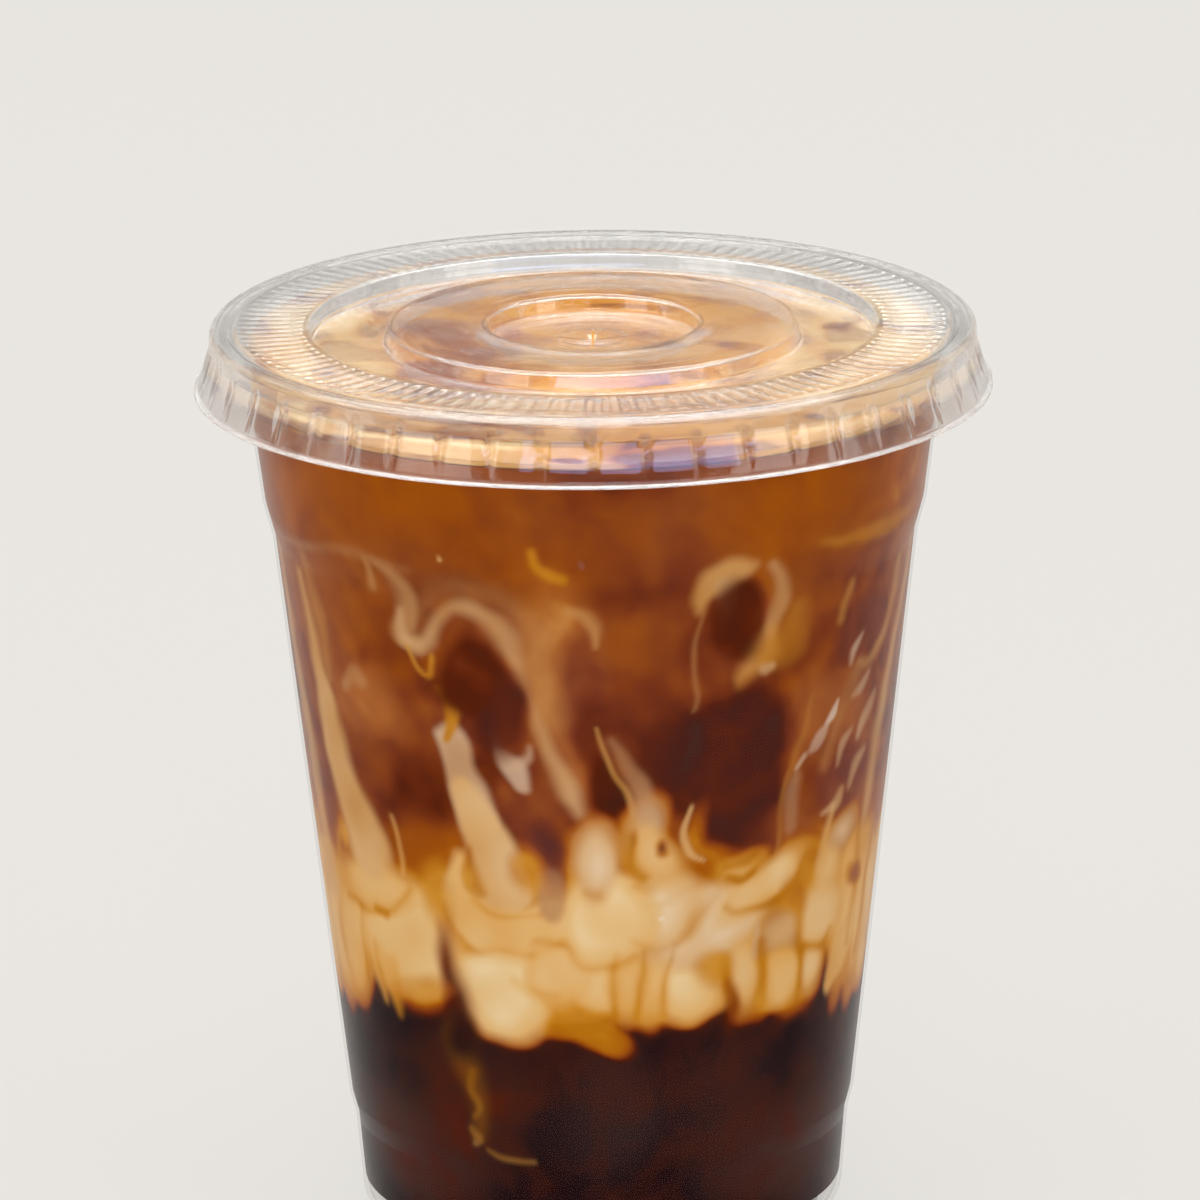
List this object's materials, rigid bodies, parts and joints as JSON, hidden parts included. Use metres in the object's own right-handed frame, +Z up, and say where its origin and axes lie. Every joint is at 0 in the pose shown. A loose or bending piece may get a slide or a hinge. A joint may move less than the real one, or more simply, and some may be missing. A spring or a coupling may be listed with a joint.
{
  "type": "iced latte in a lidded takeaway cup",
  "caption": "Iced latte in layers in a clear tapered takeaway cup with a flat clear press-on lid, free-standing.",
  "frame": {"origin": "centre of the cup's base, on the surface it stands on", "axes": "+Z up the cup's axis; the side shown in the main view faces -Y"},
  "size_m": [0.1038, 0.1038, 0.1202],
  "materials": {
    "cup_plastic": "clear thin moulded plastic, smooth and glossy",
    "lid_plastic": "clear thin formed plastic sheet, glossy, with ribs and lugs",
    "dark_coffee": "dark brown liquid coffee, nearly opaque",
    "milk": "milk stirred into coffee, cream to tan, opaque, in rounded billows",
    "amber_coffee": "amber brown milky coffee with ice and cream wisps, clear in depth"
  },
  "bodies": {
    "root": {"cup": "cup_plastic", "lid": "lid_plastic", "coffee_dark": "dark_coffee", "milk_layer": "milk", "coffee_amber": "amber_coffee"}
  },
  "joints": []
}
